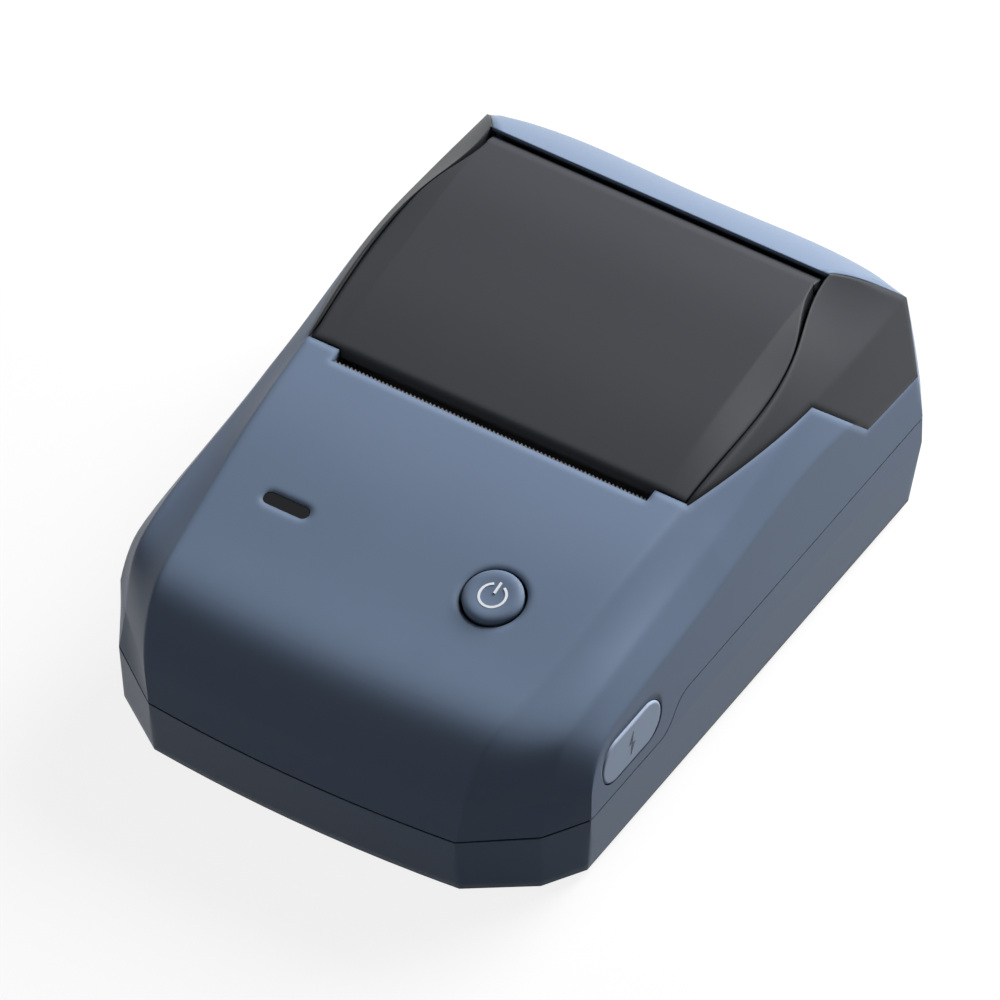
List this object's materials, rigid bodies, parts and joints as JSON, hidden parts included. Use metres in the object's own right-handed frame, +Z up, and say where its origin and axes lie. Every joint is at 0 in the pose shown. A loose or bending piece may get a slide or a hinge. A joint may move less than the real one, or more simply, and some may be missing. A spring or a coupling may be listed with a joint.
{
  "type": "thermal label printer",
  "caption": "Portable thermal label printer with a hinged roll lid, driven platen, sprung print head, self-centring roll guides, power button and charging socket.",
  "frame": {"origin": "centre of the bounding box at the underside of the feet", "axes": "+Z up, -Y out of the label slot at the front, +X to the side with the charging socket"},
  "size_m": [0.078, 0.116, 0.0467],
  "materials": {
    "body_plastic": "fine spark-eroded satin, blue grey",
    "trim_plastic": "fine matt grain, dark grey",
    "inner_plastic": "satin black",
    "acetal": "natural white, slightly waxy",
    "brass": "machined",
    "steel": "ground",
    "zinc_steel": "zinc plated",
    "aluminium": "extruded, mill finish",
    "alumina": "glazed",
    "roller_rubber": "ground",
    "foot_rubber": "moulded",
    "plug_rubber": "moulded, soft matt",
    "circuit_board": "solder mask",
    "battery_sleeve": "shrink sleeve",
    "switch_plastic": "moulded",
    "lamp": "clear polycarbonate"
  },
  "bodies": {
    "housing": {"base_shell": "body_plastic", "upper_shell": "body_plastic", "right_wing": "trim_plastic", "left_wing": "trim_plastic", "hinge_pins": "steel", "tear_bar": "steel", "chassis": "zinc_steel", "gear_axles": "steel", "stepper_motor": "zinc_steel", "head_pin": "steel", "head_springs": "steel", "roll_bay": "inner_plastic", "guide_post": "steel", "main_board": "circuit_board", "usb_socket": "steel", "battery_pack": "battery_sleeve", "key_board": "circuit_board", "tact_switch": "switch_plastic", "status_led": "lamp", "indicator_window": "lamp", "rubber_feet": "foot_rubber", "base_screws": "steel", "board_screws": "steel", "chassis_screws": "steel"},
    "lid": {"lid_panel": "trim_plastic", "lid_frame": "inner_plastic", "platen_bushes": "acetal"},
    "platen": {"platen_shaft": "steel", "platen_rubber": "roller_rubber", "platen_gear": "acetal"},
    "idler": {"idler_gear": "acetal"},
    "reduction": {"reduction_gear": "acetal"},
    "rotor": {"motor_shaft": "steel", "motor_pinion": "brass"},
    "print_head": {"head_sink": "aluminium", "head_ceramic": "alumina"},
    "button": {"power_button": "body_plastic"},
    "plug": {"usb_plug": "plug_rubber"},
    "right_guide": {"roll_guide_right": "inner_plastic"},
    "left_guide": {"roll_guide_left": "inner_plastic"},
    "centring_pinion": {"guide_pinion": "acetal"}
  },
  "joints": [
    {"name": "lid_hinge", "type": "hinge", "parent": "housing", "child": "lid", "pos_m": [0, 0.0346, 0.0422], "axis": [-1, 0, 0], "range_deg": [0, 65]},
    {"name": "platen_spin", "type": "hinge", "parent": "lid", "child": "platen", "pos_m": [0, 0.0023, 0.0311], "axis": [1, 0, 0], "continuous": true},
    {"name": "idler_spin", "type": "hinge", "parent": "housing", "child": "idler", "pos_m": [-0.0298, 0.00468, 0.0219], "axis": [1, 0, 0], "continuous": true},
    {"name": "reduction_spin", "type": "hinge", "parent": "housing", "child": "reduction", "pos_m": [-0.031, -0.00357, 0.02396], "axis": [1, 0, 0], "continuous": true},
    {"name": "rotor_spin", "type": "hinge", "parent": "housing", "child": "rotor", "pos_m": [-0.03, -0.01489, 0.02596], "axis": [1, 0, 0], "continuous": true},
    {"name": "head_pivot", "type": "hinge", "parent": "housing", "child": "print_head", "pos_m": [0, 0.0009, 0.01938], "axis": [1, 0, 0], "range_deg": [0, 4], "stiffness_Nm_per_rad": 0.6, "springref_deg": -2.86, "deforming": ["head_springs"]},
    {"name": "button_press", "type": "slide", "parent": "housing", "child": "button", "axis": [0, 0.2255, -0.9742], "range_m": [0, 0.0005], "stiffness_N_per_m": 600, "springref_m": -0.0004},
    {"name": "plug_pull", "type": "slide", "parent": "housing", "child": "plug", "axis": [1, 0, 0], "range_m": [0, 0.007]},
    {"name": "pinion_turn", "type": "hinge", "parent": "housing", "child": "centring_pinion", "pos_m": [0, 0.0224, 0.0047], "axis": [0, 0, 1], "range_deg": [-115, 115]},
    {"name": "right_guide_slide", "type": "slide", "parent": "housing", "child": "right_guide", "axis": [-1, 0, 0], "range_m": [0, 0.009]},
    {"name": "left_guide_slide", "type": "slide", "parent": "housing", "child": "left_guide", "axis": [1, 0, 0], "range_m": [0, 0.009]}
  ],
  "couplings": [
    {"joint": "idler_spin", "follows": "platen_spin", "ratio": -0.9},
    {"joint": "reduction_spin", "follows": "platen_spin", "ratio": 1.2857},
    {"joint": "rotor_spin", "follows": "platen_spin", "ratio": -3.6429},
    {"joint": "left_guide_slide", "follows": "right_guide_slide", "ratio": 1},
    {"joint": "pinion_turn", "follows": "right_guide_slide", "rad_per_m": -208.33}
  ]
}
